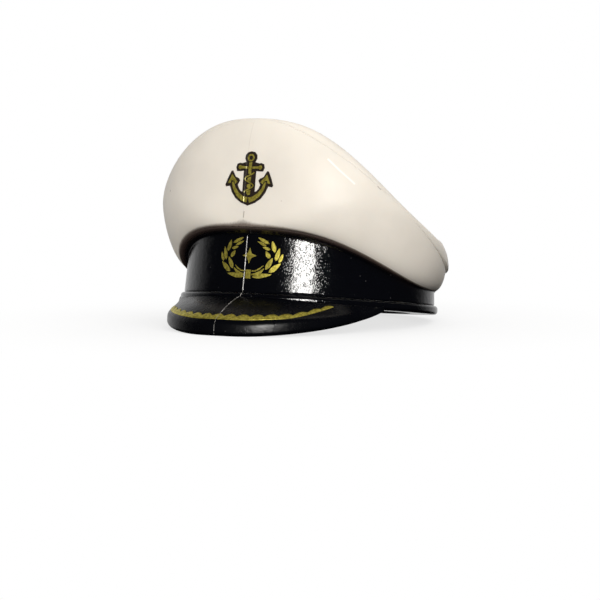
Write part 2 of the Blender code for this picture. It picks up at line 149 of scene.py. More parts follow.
# stage: metres, and azimuth and elevation in degrees, from the front towards +X
FLOOR_RADIUS = 3.0
FLOOR_WHITE = (0.93, 0.93, 0.93, 1)
FLOOR_FADE = (0.006, 0.020)      # between these distances from the cap the paper turns pure white
FLOOR_GLOW = 0.72                # share of pure white right under the cap
PALE_SIDE = (-145.0, 4.0)        # middle of the pale wall that gloss reflects
PALE_WALL = 0.7
DARK_ROOM = 0.012
DULL_SIDE = (122.0, -36.0)       # no ambient light comes from here, and more the further from it
AMBIENT = 0.43
LIGHT_MIDDLE = (0.0, 0.0, 0.005)     # what the lights point at
KEY_AT = (25.5, 12.0, 0.200)
OVERHEAD_AT = (70.0, 38.0, 0.3)
BEHIND_AT = (180.0, 58.0, 0.3)

# camera: millimetres and degrees
CAMERA_AT = (77.878, -126.554, 13.000)
CAMERA_TURN = (86.457, 0.135, 31.336)
CAMERA_LENS = 174.0
CAMERA_SHIFT = (-0.0203, -0.0836)
CAMERA_SENSOR = 36.0


def cosine_series(values):
    """Coefficients of the even, smooth curve through values at equal steps from 0 to 180."""
    count = len(values)
    steps = np.arange(count) * math.pi / (count - 1)
    return np.linalg.solve(np.cos(np.outer(steps, np.arange(count))), np.array(values))


SERIES = {name: cosine_series(values) for name, values in (
    ("band_top", BAND_TOP_Z), ("lip_out", LIP_OUT), ("lip_rise", LIP_RISE), ("wide_r", WIDE_R),
    ("wide_z", WIDE_Z), ("crest_r", CREST_R), ("crest_z", CREST_Z), ("seam_z", SEAM_Z),
    ("haunch", HAUNCH_POWER))}


def around(name, angle):
    """Value of a named series at an angle."""
    series = SERIES[name]
    return float(np.sum(series * np.cos(angle * np.arange(len(series)))))


def smooth_step(low, high, value):
    """Smooth change from 0 at low to 1 at high."""
    t = np.clip((value - low) / (high - low), 0.0, 1.0)
    return t * t * (3.0 - 2.0 * t)


# ---------------------------------------------------------------- frame

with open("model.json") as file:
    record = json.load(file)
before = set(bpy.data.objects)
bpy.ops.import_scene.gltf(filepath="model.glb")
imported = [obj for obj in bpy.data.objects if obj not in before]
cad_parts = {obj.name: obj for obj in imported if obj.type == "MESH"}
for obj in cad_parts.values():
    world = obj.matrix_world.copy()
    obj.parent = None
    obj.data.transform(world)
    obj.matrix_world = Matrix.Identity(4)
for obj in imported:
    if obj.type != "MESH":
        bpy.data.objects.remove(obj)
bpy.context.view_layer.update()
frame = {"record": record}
seat = next(m for m in frame["record"]["mounts"] if m["name"] == "head_seat")
LEAN = math.atan2(seat["axis"][1], -seat["axis"][2])
TURN = Matrix.Rotation(LEAN, 4, "X")
SEAT_POINT = Vector((0.0, SEAT_MOUNT_Y, SEAT_Z)) * MM
STAND = Matrix.Translation(Vector(seat["pos_m"]) - TURN @ SEAT_POINT) @ TURN @ Matrix.Scale(MM, 4)
STAND_ARRAY = np.array(STAND)


def to_row(points):
    """Cap-frame millimetres to the row's metres, for an array of any shape (..., 3)."""
    return points @ STAND_ARRAY[:3, :3].T + STAND_ARRAY[:3, 3]


# ---------------------------------------------------------------- meshes

def make_piece(name, vertices, faces, look, masks=None):
    """Closed mesh object from cap-frame points, with one material and named point values."""
    mesh = bpy.data.meshes.new(name)
    mesh.from_pydata([tuple(p) for p in to_row(np.asarray(vertices, float))], [], faces)
    mesh.update()
    for label, values in (masks or {}).items():
        layer = mesh.attributes.new(label, "FLOAT", "POINT")
        layer.data.foreach_set("value", np.asarray(values, np.float32))
    work = bmesh.new()
    work.from_mesh(mesh)
    bmesh.ops.recalc_face_normals(work, faces=work.faces)
    work.to_mesh(mesh)
    work.free()
    mesh.shade_smooth()
    mesh.materials.append(look)
    made = bpy.data.objects.new(name, mesh)
    bpy.context.scene.collection.objects.link(made)
    return made


def set_in(piece, node):
    """Put a piece on the body root in place of its CAD node, which is hidden."""
    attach(piece, "root")
    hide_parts(node)


def ring_angles():
    """Angles all round, with more of them at the parting line at the front and back."""
    fine = sorted({side * off / BAND_R_HIGH for off in PARTING_COLUMNS for side in (-1, 1)})
    plain = [2 * math.pi * i / COLUMNS for i in range(COLUMNS)]
    keep = fine[-1] + 0.01
    plain = [a for a in plain if keep < a < math.pi - keep or math.pi + keep < a < 2 * math.pi - keep]
    return np.array(sorted(plain + [a % (2 * math.pi) for a in fine] + [math.pi + a for a in fine]))


def ridge(x, along, seed):
    """Share of the parting ridge's height at x, which wanders a little along its length."""
    drift = RIDGE_MIDDLE + 0.04 * noise.noise(Vector((along * 0.45, seed, 0.0)))
    drift += 0.012 * noise.noise(Vector((along * 2.6, seed, 4.0)))
    rough = 0.8 + 0.5 * noise.noise(Vector((along * 3.2, seed, 9.0)))
    return rough * math.exp(-((x - drift) / RIDGE_WIDTH) ** 2)


def profile_normals(points):
    """Outward normals of a closed run of (radius, height) points that goes up the outside."""
    ahead = np.roll(points, -1, axis=0) - np.roll(points, 1, axis=0)
    normals = np.stack([ahead[:, 1], -ahead[:, 0]], axis=1)
    size = np.maximum(np.linalg.norm(normals, axis=1, keepdims=True), 1e-9)
    return normals / size


def ring_piece(name, section, look, ridge_scale=0.0, seed=0.0, caps=False):
    """Turned piece. section(angle) gives its (radius, height) points, how many of them carry
    the parting ridge, and how much stray paint each has, or None."""
    angles = ring_angles()
    vertices, worn, extra = [], [], []
    for angle in angles:
        points, outside, mask = section(angle)
        normals = profile_normals(points)
        for i, (r, z) in enumerate(points):
            x = r * math.sin(angle)
            amount = 0.0
            if i < outside and abs(x) < 0.2 and ridge_scale:
                fade = min(1.0, 0.5 * min(i, outside - 1 - i))
                amount = ridge(x, z + r, seed + (0.0 if math.cos(angle) > 0 else 50.0)) * fade
            r, z = np.array((r, z)) + normals[i] * amount * RIDGE_HEIGHT * ridge_scale
            vertices.append((r * math.sin(angle), -r * math.cos(angle), z))
            worn.append(amount)
        extra.append(mask if mask is not None else np.zeros(len(points)))
    count = len(points)
    faces = []
    for i in range(len(angles)):
        k = (i + 1) % len(angles)
        for j in range(count - 1 if caps else count):
            m = (j + 1) % count
            faces.append((i * count + j, i * count + m, k * count + m, k * count + j))
    masks = {"worn": worn, "spray": np.concatenate(extra)}
    if caps:
        for j in (0, count - 1):
            centre = np.mean([vertices[i * count + j] for i in range(len(angles))], axis=0)
            vertices.append((0.0, 0.0, centre[2]))
            pole = len(vertices) - 1
            faces += [(i * count + j, ((i + 1) % len(angles)) * count + j, pole)
                      for i in range(len(angles))]
            masks = {key: np.append(values, 0.0) for key, values in masks.items()}
    return make_piece(name, vertices, faces, look, masks)


def arc(centre, radius, start, end, steps):
    """Points on a circle's arc, angles in degrees from the +radius axis."""
    turns = np.radians(np.linspace(start, end, steps))
    return [(centre[0] + radius * math.cos(t), centre[1] + radius * math.sin(t)) for t in turns]


# ---------------------------------------------------------------- crown

def band_radius(height):
    """Radius of the band's tapered outside at a height."""
    low = BEAD_HEIGHT + FIT_GAP
    share = (height - low) / (BAND_TOP_Z[0] - low)
    return BAND_R_LOW + (BAND_R_HIGH - BAND_R_LOW) * share


def crown_foot(angle):
    """Radius and height of the edge where the band's lip meets the crown."""
    top = around("band_top", angle)
    return band_radius(top) + around("lip_out", angle), top + around("lip_rise", angle)


def top_height(share, angle):
    """Height of the top panel: a membrane stretched over the crest, slightly domed."""
    series = SERIES["crest_z"]
    orders = np.arange(len(series))
    membrane = float(np.sum(series * share ** orders * np.cos(angle * orders)))
    return membrane + TOP_DOME * (1.0 - share ** 2) * (1.0 - 0.5 * share ** 6)


def crown_outline(angle):
    """The whole outside of the crown at one angle, from its foot to the axis, and its length."""
    foot_r, foot_z = crown_foot(angle)
    foot_z += FIT_GAP
    wide_r, wide_z = around("wide_r", angle), around("wide_z", angle)
    crest_r, crest_z = around("crest_r", angle), around("crest_z", angle)
    haunch = 2.0 / around("haunch", angle)
    t = np.linspace(0.0, 0.5 * math.pi, 240)
    rise = np.stack([foot_r + (wide_r - foot_r) * np.sin(t) ** haunch,
                     foot_z + (wide_z - foot_z) * (1 - np.cos(t) ** haunch)], 1)
    roll = np.stack([crest_r + (wide_r - crest_r) * np.cos(t) ** (2 / CREST_POWER),
                     wide_z + (crest_z - wide_z) * np.sin(t) ** (2 / CREST_POWER)], 1)
    shares = np.linspace(1.0, 0.02, 120)
    panel = np.array([(crest_r * s, top_height(s, angle)) for s in shares])
    points = np.concatenate([rise[:-1], roll[:-1], panel])
    length = np.concatenate([[0.0], np.cumsum(np.hypot(*np.diff(points, axis=0).T))])
    step = 0.03
    even = np.arange(0.0, length[-1], step)
    points = np.stack([np.interp(even, length, points[:, 0]), np.interp(even, length, points[:, 1])], 1)
    reach = int(3 * CREST_SOFTNESS / step)
    weights = np.exp(-0.5 * (np.arange(-reach, reach + 1) * step / CREST_SOFTNESS) ** 2)
    weights /= weights.sum()
    padded = np.concatenate([2 * points[0] - points[reach:0:-1], points,
                             2 * points[-1] - points[-2:-reach - 2:-1]])
    soft = np.stack([np.convolve(padded[:, i], weights, "valid") for i in range(2)], 1)
    return soft, even


def seam_length(points, even, angle):
    """Length along the crown's outline at which it reaches the seam's height."""
    above = np.argmax(points[:, 1] >= around("seam_z", angle))
    return float(even[above])


def take(points, even, places):
    """Points of an outline at the given lengths along it."""
    return np.stack([np.interp(places, even, points[:, 0]), np.interp(places, even, points[:, 1])], 1)


def wall_section(angle):
    """Side wall: outside from the foot to the seam, a rounded shoulder, and the inside."""
    points, even = crown_outline(angle)
    seam = seam_length(points, even, angle)
    places = np.concatenate([np.linspace(0.0, 0.3, 9)[:-1], np.linspace(0.3, seam - 0.13, 42)])
    outer = take(points, even, places)
    tangent = take(points, even, [seam + 0.01])[0] - take(points, even, [seam - 0.05])[0]
    tangent /= np.linalg.norm(tangent)
    normal = np.array((tangent[1], -tangent[0]))
    end = take(points, even, [seam])[0]
    shoulder = [end - tangent * SHOULDER_LENGTH * (1 - s)
                - normal * SHOULDER_DEPTH * (1 - math.sqrt(1 - s * s))
                for s in (0.3, 0.55, 0.75, 0.9, 0.97, 1.0)]
    top_in = end - normal * CROWN_THICK
    wide_in = around("wide_r", angle) - CROWN_THICK
    wide_z = around("wide_z", angle)
    foot_r, foot_z = outer[0]
    turn_r = foot_r + 0.73 * (wide_in + CROWN_THICK - foot_r) - 0.7 * CROWN_THICK
    turn_z = foot_z + 0.29 * (wide_z - foot_z) + 0.7 * CROWN_THICK
    bulge_z = min(wide_z, top_in[1] - 0.1)
    inner = [top_in, (wide_in, bulge_z), (min(turn_r, wide_in - 0.02), min(turn_z, bulge_z - 0.12)),
             (BAND_INNER_R + 0.06, foot_z)]
    section = np.concatenate([outer, shoulder, inner])
    spray = np.zeros(len(section))
    side = min(angle, 2 * math.pi - angle)
    reach = SPRAY_REACH + SPRAY_REACH_FRONT * (1 - float(smooth_step(0.3, 1.1, side)))
    if math.cos(angle) > 0:
        reach += SPRAY_REACH_MIDDLE * math.exp(-(foot_r * math.sin(angle) / SPRAY_MIDDLE_WIDTH) ** 2)
    spray[:len(places)] = np.exp(-(places / reach) ** 1.5)
    return section, len(outer), spray


def top_section(angle):
    """Top panel: rounded lip over the seam, the roll over the crest, the panel, its underside."""
    points, even = crown_outline(angle)
    seam = seam_length(points, even, angle) + 0.004
    side = min(angle, 2 * math.pi - angle)
    proud = LIP_PROUD * float(smooth_step(1.3, 2.0, side))
    tangent = take(points, even, [seam + 0.06])[0] - take(points, even, [seam])[0]
    tangent /= np.linalg.norm(tangent)
    normal = np.array((tangent[1], -tangent[0]))
    start = take(points, even, [seam])[0]
    deep = min(LIP_ROUND, proud + 0.04)
    lip = [start + tangent * LIP_ROUND * (1 - math.cos(t)) + normal * (proud - deep * (1 - math.sin(t)))
           for t in np.radians((0, 22, 45, 68))]
    near = seam + LIP_ROUND
    places = np.concatenate([near + np.linspace(0.0, 1.6, 24)[:-1],
                             np.linspace(near + 1.6, even[-1], 40)])
    outer = take(points, even, places)
    wide = take(points, even, places + 0.03) - take(points, even, places - 0.03)
    normals = np.stack([wide[:, 1], -wide[:, 0]], 1)
    normals /= np.maximum(np.linalg.norm(normals, axis=1, keepdims=True), 1e-9)
    outer = outer + normals * (proud * (1 - smooth_step(0.0, 1.1, places - near)))[:, None]
    inside = start - normal * (CROWN_THICK - 0.05)
    crest_r = around("crest_r", angle)
    shares = (0.05, 0.2, 0.4, 0.6, 0.8)
    under = [(crest_r * s, top_height(s, angle) - CROWN_THICK) for s in shares]
    section = np.concatenate([under, [inside], lip, outer])
    return section, 0, None


# ---------------------------------------------------------------- band, bead, socket

def bead_section(angle):
    """Round-edged ring under the band, with a small lead-in for the head at its bottom."""
    r, h, e = BEAD_R, BEAD_HEIGHT, 0.17
    outside = [(BAND_R_LOW - 0.04, h)] + arc((r - e, h - e), e, 92, 0, 9)
    outside += arc((r - e, e), e, 0, -90, 9)
    section = np.array(outside[::-1] + [(HEAD_R, h), (HEAD_R, 0.12), (HEAD_R + 0.05, 0.03),
                                        (HEAD_R + 0.14, 0.0)])
    return section, len(outside), None


def band_section(angle):
    """Tapered wall with a small step at the bead, and the flared lip that carries the crown."""
    low = BEAD_HEIGHT + FIT_GAP
    top = around("band_top", angle)
    foot_r, foot_z = crown_foot(angle)
    flare = min(0.05, 0.2 * (top - low))
    wall_z = np.linspace(low + 0.05, top - flare, 22)
    wall = [(band_radius(z), z) for z in wall_z]
    start = np.array((band_radius(top - flare), top - flare))
    bend = np.array((band_radius(top), top + 0.05))
    end = np.array((foot_r, foot_z - 0.03))
    cove = [(1 - t) ** 2 * start + 2 * t * (1 - t) * bend + t * t * end
            for t in np.linspace(0.0, 1.0, 12)[1:]]
    outside = [(BAND_R_LOW - 0.03, low)] + wall + cove
    outside += [(foot_r, foot_z - 0.008), (foot_r - 0.02, foot_z)]
    inside = [(BAND_INNER_R, foot_z), (BAND_INNER_R, 0.5 * (low + top)), (BAND_INNER_R, low)]
    section = np.array([tuple(p) for p in outside] + inside)
    away = np.hypot(section[:len(outside), 0] - foot_r, section[:len(outside), 1] - foot_z)
    spray = np.zeros(len(section))
    spray[:len(outside)] = np.exp(-(away / LIP_SPRAY_REACH) ** 2)
    side = min(angle, 2 * math.pi - angle)
    return section, len(wall) + 2, spray * float(smooth_step(1.6, 0.9, side))


def socket_section(angle):
    """Liner round the head, seat on top of it and collar round the stud's hole."""
    low = BEAD_HEIGHT + FIT_GAP
    top = SEAT_Z + SEAT_THICK
    seat_r = np.linspace(HEAD_R - 0.12, STUD_R + 0.1, 34)
    seat_run = []
    for r in seat_r:
        x, y = r * math.sin(angle), -r * math.cos(angle)
        dent = 0.0
        for turn in EJECTOR_TURNS:
            away = math.hypot(x - EJECTOR_R * math.sin(turn), y + EJECTOR_R * math.cos(turn))
            dent += EJECTOR_DEPTH * (1 - float(smooth_step(0.42, 0.52, away)))
        seat_run.append((r, SEAT_Z + dent))
    hole = [(STUD_R + 0.03, SEAT_Z + 0.02), (STUD_R, SEAT_Z + 0.09), (STUD_R, COLLAR_TOP_Z - 0.14),
            (STUD_R + 0.04, COLLAR_TOP_Z - 0.04), (STUD_R + 0.12, COLLAR_TOP_Z)]
    over = [(COLLAR_R - 0.06, COLLAR_TOP_Z), (COLLAR_R, COLLAR_TOP_Z - 0.06), (COLLAR_R, top),
            (LINER_R - 0.35, top), (LINER_R, top - 0.3), (LINER_R, low), (HEAD_R + 0.02, low)]
    wall = [(HEAD_R, z) for z in np.linspace(low + 0.02, SEAT_Z - 0.1, 10)]
    corner = [(HEAD_R - 0.03, SEAT_Z - 0.03)]
    return np.array((over + wall + corner + seat_run + hole)[::-1]), 0, None


# ---------------------------------------------------------------- visor

def visor_edge(turn):
    """Angle, radius, lower and upper height of the visor's edge at a turn from the front."""
    x = VISOR_HALF_X * math.sin(turn)
    y = VISOR_CENTRE_Y - VISOR_HALF_Y * math.cos(turn)
    climb = max(0.0, abs(turn) * 2.0 / math.pi - 0.1) / 0.9
    low = VISOR_EDGE_LOW_Z + VISOR_EDGE_RISE * climb ** VISOR_CLIMB + VISOR_END_RISE * climb ** 12
    high = low + VISOR_EDGE_THICK - VISOR_EDGE_THINNER * abs(math.sin(turn)) ** VISOR_THINNING
    return math.atan2(x, -y), max(math.hypot(x, y), BEAD_R + FIT_GAP + VISOR_TAIL), low, high


def visor_top(turn, share):
    """Angle, radius and height on the visor's top, from its root (0) to its edge (1)."""
    angle, radius, low, high = visor_edge(turn)
    root = BEAD_R + FIT_GAP
    root_z = VISOR_ROOT_Z - VISOR_ROOT_FALL * math.sin(turn) ** 2
    r = root + (radius - root) * share
    sag = VISOR_SAG[0] * math.cos(turn) ** 2 + VISOR_SAG[1] * math.sin(turn) ** 2
    return angle, r, root_z - (root_z - high) * ((1.0 - sag) * share + sag * share ** 2)


def visor_piece(look):
    """Drooping visor with a thick rounded edge."""
    root = BEAD_R + FIT_GAP
    span = math.radians(VISOR_SPAN)
    fine = sorted({side * off / (BEAD_R + 1.5) for off in PARTING_COLUMNS for side in (-1, 1)})
    plain = [span * (2.0 * i / 150 - 1.0) for i in range(151)]
    turns = sorted([t for t in plain if abs(t) > fine[-1] + 0.008] + fine)
    vertices, worn = [], []
    for turn in turns:
        angle, radius, low, high = visor_edge(turn)
        reach = radius - root
        corner = min(VISOR_CORNER, 0.3 * reach)
        rounding = min(VISOR_CORNER, 0.42 * (high - low))
        run = [visor_top(turn, s * (1 - corner / reach))[1:]
               for s in np.linspace(0, 1, VISOR_TOP_POINTS)]
        last = np.array(run[-1])
        slope = last - np.array(run[-2])
        slope /= max(np.linalg.norm(slope), 1e-9)
        meet = last + slope * corner / max(slope[0], 0.3)
        meet[0] = radius
        below = np.array((radius, max(meet[1] - rounding, low + rounding)))
        run += [tuple((1 - t) ** 2 * last + 2 * t * (1 - t) * meet + t * t * below)
                for t in np.linspace(0, 1, 8)[1:]]
        run += [(radius - corner * (1 - math.cos(t)), low + rounding * (1 - math.sin(t)))
                for t in np.radians(np.linspace(0, 90, 8))]
        outside = len(run)
        tuck = np.array((radius - corner, low))
        heel = np.array((root, VISOR_ROOT_LOW_Z))
        middle = np.array((root + reach * 0.5, low + 0.45 * (VISOR_ROOT_LOW_Z - low)))
        hollow = 2 * middle - 0.5 * (tuck + heel)
        run += [tuple((1 - t) ** 2 * tuck + 2 * t * (1 - t) * hollow + t * t * heel)
                for t in np.linspace(0, 1, 14)[1:]]
        run = np.array(run)
        normals = -profile_normals(run)
        for i, (r, z) in enumerate(run):
            amount = 0.0
            if abs(r * math.sin(angle)) < 0.25 and 0 < i < outside - 1:
                amount = ridge(r * math.sin(angle), r - z, 7.0)
            r, z = np.array((r, z)) + normals[i] * amount * RIDGE_HEIGHT * 0.6
            vertices.append((r * math.sin(angle), -r * math.cos(angle), z))
            worn.append(amount * (0.75 if i < VISOR_TOP_POINTS - 1 else 0.6))
    count = len(run)
    faces = []
    for i in range(len(turns) - 1):
        for j in range(count):
            m = (j + 1) % count
            faces.append((i * count + j, i * count + m, (i + 1) * count + m, (i + 1) * count + j))
    faces += [tuple(range(count)), tuple((len(turns) - 1) * count + j for j in range(count))]
    return make_piece("visor_shell", vertices, faces, look, {"worn": worn, "spray": [0.0] * len(worn)})


def trim_piece(look):
    """Scalloped gold ribbon near the visor's edge: smooth outside, arcs that bulge inwards."""
    steps = TRIM_SCALLOPS * 14
    across = 5
    vertices = []
    for i in range(steps + 1):
        along = 2.0 * i / steps - 1.0
        turn = math.radians(TRIM_SPAN) * along
        reach = visor_edge(turn)[1] - BEAD_R - FIT_GAP
        wave = abs(math.sin(math.pi * TRIM_SCALLOPS * i / steps)) ** 0.8
        taper = math.sqrt(max(0.004, 1.0 - along ** 6))
        width = TRIM_WIDTH * (0.52 + 0.48 * wave) * taper
        edge = TRIM_INSET + TRIM_DRIFT * float(smooth_step(TRIM_DRIFT_FROM, TRIM_SPAN,
                                                           math.degrees(turn)))
        for level in (0, 1):
            for k in range(across):
                where = edge + width * (k if level == 0 else across - 1 - k) / (across - 1)
                angle, r, z = visor_top(turn, 1.0 - where / reach)
                up = INK if level == 0 else -0.02
                vertices.append((r * math.sin(angle), -r * math.cos(angle), z + up))
    count = 2 * across
    faces = []
    for i in range(steps):
        for j in range(count):
            m = (j + 1) % count
            faces.append((i * count + j, i * count + m, (i + 1) * count + m, (i + 1) * count + j))
    faces += [tuple(range(count)), tuple(steps * count + j for j in range(count))]
    return make_piece("visor_trim_print", vertices, faces, look)


# ---------------------------------------------------------------- prints

def crown_depth_table():
    """Radius of the crown's front over a grid of angles and heights, for laying prints on it."""
    angles = np.linspace(-0.5, 0.5, 61)
    heights = np.linspace(4.4, 8.4, 41)
    radii = np.array([[np.interp(z, pts[:300, 1], pts[:300, 0]) for z in heights]
                      for pts in (crown_outline(abs(a))[0] for a in angles)])
    return angles, heights, radii


def crown_front_y(x, z):
    """Depth y of the crown's front at a place, with the parting ridge's lift."""
    angles, heights, radii = CROWN_TABLE
    angle = math.asin(max(-0.45, min(0.45, x / WIDE_R[0])))
    for _ in range(4):
        column = np.clip(np.interp(angle, angles, np.arange(len(angles))), 0, len(angles) - 1.001)
        row = np.clip(np.interp(z, heights, np.arange(len(heights))), 0, len(heights) - 1.001)
        i, j = int(column), int(row)
        u, v = column - i, row - j
        radius = ((1 - u) * (1 - v) * radii[i, j] + u * (1 - v) * radii[i + 1, j]
                  + (1 - u) * v * radii[i, j + 1] + u * v * radii[i + 1, j + 1])
        angle = math.asin(x / radius)
    lift = 0.4 * RIDGE_HEIGHT * math.exp(-(x / RIDGE_WIDTH) ** 2)
    return -radius * math.cos(angle) - lift


def band_front_y(x, z):
    """Depth y of the band's front at a place."""
    return -math.sqrt(band_radius(z) ** 2 - x ** 2)


def printed(name, outlines, depth_of, look, lift=0.0):
    """Closed outlines of (x, z), laid as thin ink on the curved surface behind them."""
    vertices, faces = [], []
    for outline in outlines:
        work = bmesh.new()
        work.faces.new([work.verts.new((x + PRINT_SHIFT, 0.0, z)) for x, z in outline])
        for axis, shift in ((0, PRINT_SHIFT), (1, 0.0)):
            low = shift + min(p[axis] for p in outline)
            high = shift + max(p[axis] for p in outline)
            cuts = list(np.arange(low + 0.11, high - 0.03, PRINT_FACET))
            if axis == 0:
                cuts += [c for c in (-0.03, 0.0, 0.03) if low + 0.01 < c < high - 0.01]
            for cut in cuts:
                everything = list(work.verts) + list(work.edges) + list(work.faces)
                bmesh.ops.bisect_plane(work, geom=everything, dist=0.004,
                                       plane_co=(cut, 0, 0) if axis == 0 else (0, 0, cut),
                                       plane_no=(1, 0, 0) if axis == 0 else (0, 0, 1))
        bmesh.ops.triangulate(work, faces=list(work.faces))
        out = bmesh.ops.extrude_face_region(work, geom=list(work.faces))
        raised = {v for v in out["geom"] if isinstance(v, bmesh.types.BMVert)}
        work.verts.index_update()
        first = len(vertices)
        for vert in work.verts:
            x, z = vert.co.x, vert.co.z
            vertices.append((x, depth_of(x, z) - lift - (INK if vert in raised else 0.0), z))
        faces += [tuple(first + v.index for v in face.verts) for face in work.faces]
        work.free()
    made = make_piece(name, vertices, faces, look)
    made.data.shade_flat()
    return made


def stroke(path, widths):
    """Outline of a brush stroke: a path of (x, z) points with a width at each."""
    path = np.array(path, float)
    ahead = np.gradient(path, axis=0)
    ahead /= np.linalg.norm(ahead, axis=1, keepdims=True)
    side = np.stack([-ahead[:, 1], ahead[:, 0]], 1) * np.array(widths)[:, None] / 2
    return [tuple(p) for p in np.concatenate([path + side, (path - side)[::-1]])]


def leaf(base, tip, width):
    """Pointed laurel leaf."""
    t = np.linspace(0.0, 1.0, 10)
    path = [(base[0] + (tip[0] - base[0]) * s, base[1] + (tip[1] - base[1]) * s) for s in t]
    widths = width * np.maximum(np.sin(math.pi * t ** 0.8) ** 0.75, 0.06)
    return stroke(path, widths)


# one spray's leaves, from the tie upwards: foot, tip and width, measured from the wreath's middle
LEAVES = (((0.25, -0.92), (1.27, -0.77), 0.22), ((1.13, -0.67), (1.68, -0.20), 0.25),
          ((1.60, -0.16), (1.76, 0.28), 0.17), ((0.95, -0.52), (1.27, 0.06), 0.24),
          ((1.42, -0.08), (1.58, 0.56), 0.21), ((1.12, 0.04), (0.88, 0.38), 0.21),
          ((1.36, 0.34), (1.18, 0.90), 0.22), ((1.10, 0.47), (0.70, 0.58), 0.15),
          ((1.03, 0.76), (0.42, 1.05), 0.17), ((0.88, 0.64), (0.40, 0.86), 0.13))


def sprig(side):
    """One laurel spray."""
    return [[(side * x, z + WREATH_Z) for x, z in leaf(*each)] for each in LEAVES]


def tie_shapes():
    """Knot of the wreath, and two ribbons that curl up from it on each side."""
    low = WREATH_Z - WREATH_R * WREATH_FLAT
    shapes = [[(-0.15, low + 0.02), (0.15, low + 0.02), (0.13, low + 0.20), (0.15, low + 0.46),
               (-0.15, low + 0.46), (-0.13, low + 0.20)]]
    for side in (-1, 1):
        upper = [(side * x, low + z)
                 for x, z in ((0.20, 0.40), (0.40, 0.41), (0.62, 0.52), (0.80, 0.68))]
        lower = [(side * x, low + z)
                 for x, z in ((0.20, 0.22), (0.45, 0.25), (0.68, 0.36), (0.86, 0.54))]
        shapes += [stroke(upper, (0.06, 0.07, 0.07, 0.03)), stroke(lower, (0.07, 0.14, 0.15, 0.04))]
    return shapes


def star_shapes():
    """Plain four-point star between the sprays."""
    points = []
    for i in range(8):
        radius = 0.40 if i % 2 == 0 else 0.16
        turn = math.radians(45.0 * i)
        points.append((radius * math.sin(turn), WREATH_Z + 0.14 + radius * math.cos(turn)))
    return [points]


def anchor_shapes():
    """A plain anchor: eye, stock with ball ends, shank, curved arms and flukes, and a rope over it."""
    eye = stroke([(0.15 * math.sin(t), 1.08 + 0.15 * math.cos(t)) for t in np.linspace(0.05, 6.2, 22)],
                 [0.08] * 22)
    shapes = [eye]
    for high, low in ((0.86, 0.24), (0.10, -0.10), (-0.24, -0.44), (-0.56, -0.76)):
        half = 0.08 + 0.02 * (0.86 - high)
        shapes.append([(-half, high - 0.03), (half, high + 0.03 * (high < 0.8)),
                       (half, low - 0.03 * (low > -0.7)), (0.0, low - 0.04 * (low < -0.7)),
                       (-half, low + 0.03)])
    for side in (-1, 1):
        stock = [(side * x, z) for x, z in ((0.11, 0.63), (0.52, 0.66), (0.56, 0.70), (0.66, 0.68),
                                            (0.69, 0.58), (0.64, 0.50), (0.55, 0.49), (0.51, 0.53),
                                            (0.11, 0.53))]
        path = [(side * x, z) for x, z in ((0.05, -1.04), (0.34, -0.96), (0.62, -0.76), (0.84, -0.46),
                                           (0.96, -0.14))]
        arm = stroke(path, (0.26, 0.23, 0.20, 0.15, 0.10))
        fluke = [(side * x, z) for x, z in ((1.02, 0.24), (1.24, -0.22), (1.10, -0.20), (1.04, -0.06),
                                            (0.88, -0.10), (0.80, -0.24), (0.68, -0.14))]
        shapes += [stock, arm, fluke]
    rope = [(0.25 * math.sin(math.pi * (0.5 + 3.0 * t)), 0.36 - 1.02 * t)
            for t in np.linspace(0.0, 1.0, 40)]
    shapes.append(stroke(rope, [0.065] * 40))
    return [[(x, z + BADGE_Z) for x, z in shape] for shape in shapes]


def ground_outline():
    """Black ground that shows as an outline round the anchor."""
    half = [(0.0, 1.40), (0.20, 1.36), (0.33, 1.22), (0.35, 1.04), (0.26, 0.86), (0.50, 0.80),
            (0.62, 0.82), (0.78, 0.76), (0.83, 0.58), (0.76, 0.40), (0.56, 0.40), (0.36, 0.42),
            (0.36, -0.62), (0.46, -0.60), (0.58, -0.46), (0.66, -0.28), (0.54, -0.06), (0.62, 0.04),
            (0.82, 0.12), (1.00, 0.42), (1.10, 0.40), (1.28, 0.02), (1.40, -0.30), (1.34, -0.38),
            (1.12, -0.34), (0.98, -0.66), (0.74, -0.96), (0.40, -1.18), (0.10, -1.28), (0.0, -1.32)]
    mirrored = [(-x, z) for x, z in reversed(half[1:-1])]
    return [(x, z + BADGE_Z) for x, z in half + mirrored]


# ---------------------------------------------------------------- materials

